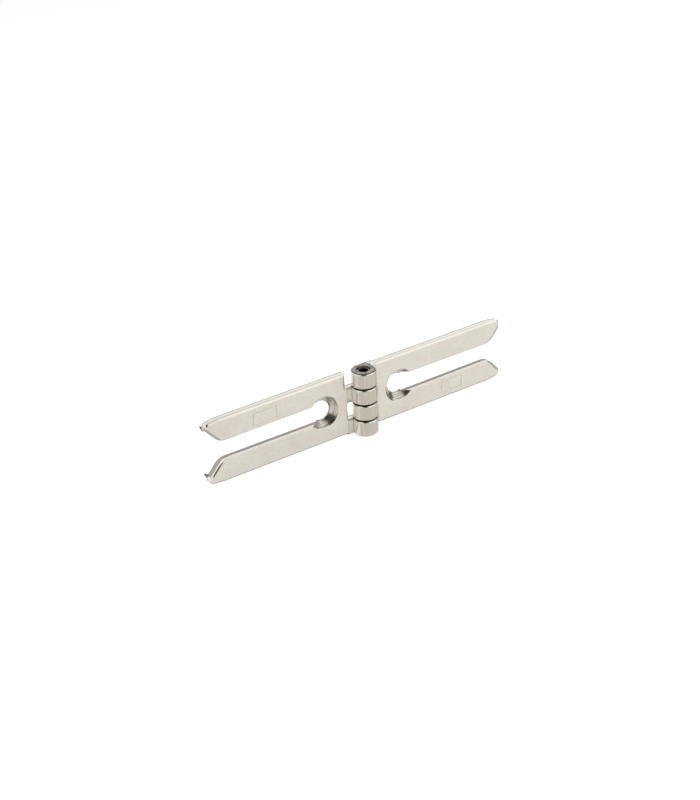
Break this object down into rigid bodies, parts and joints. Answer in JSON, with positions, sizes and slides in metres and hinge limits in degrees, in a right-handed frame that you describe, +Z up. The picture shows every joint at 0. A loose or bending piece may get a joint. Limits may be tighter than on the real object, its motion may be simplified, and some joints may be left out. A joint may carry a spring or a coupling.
{
  "type": "hinge connector",
  "caption": "Strap hinge connector: forked, barbed flat leaves joined by rolled knuckles on a hollow pin, with countersunk screw holes.",
  "frame": {"origin": "on the pin's axis, at the lower end face of the barrel", "axes": "+Z up along the pin; +X along the right leaf; +Y towards the backs of the leaves, which carry the barbs"},
  "size_m": [0.1032, 0.0087, 0.0204],
  "materials": {
    "nickel_plate": "satin",
    "pin_nickel": "satin"
  },
  "bodies": {
    "left_leaf_and_pin": {"left_leaf": "nickel_plate", "hinge_pin": "pin_nickel"},
    "right_leaf": {"right_leaf": "nickel_plate"}
  },
  "joints": [
    {"name": "pin_swing", "type": "hinge", "parent": "left_leaf_and_pin", "child": "right_leaf", "pos_m": [0, 0, 0.0102], "axis": [0, 0, 1], "range_deg": [-180, 100]}
  ]
}
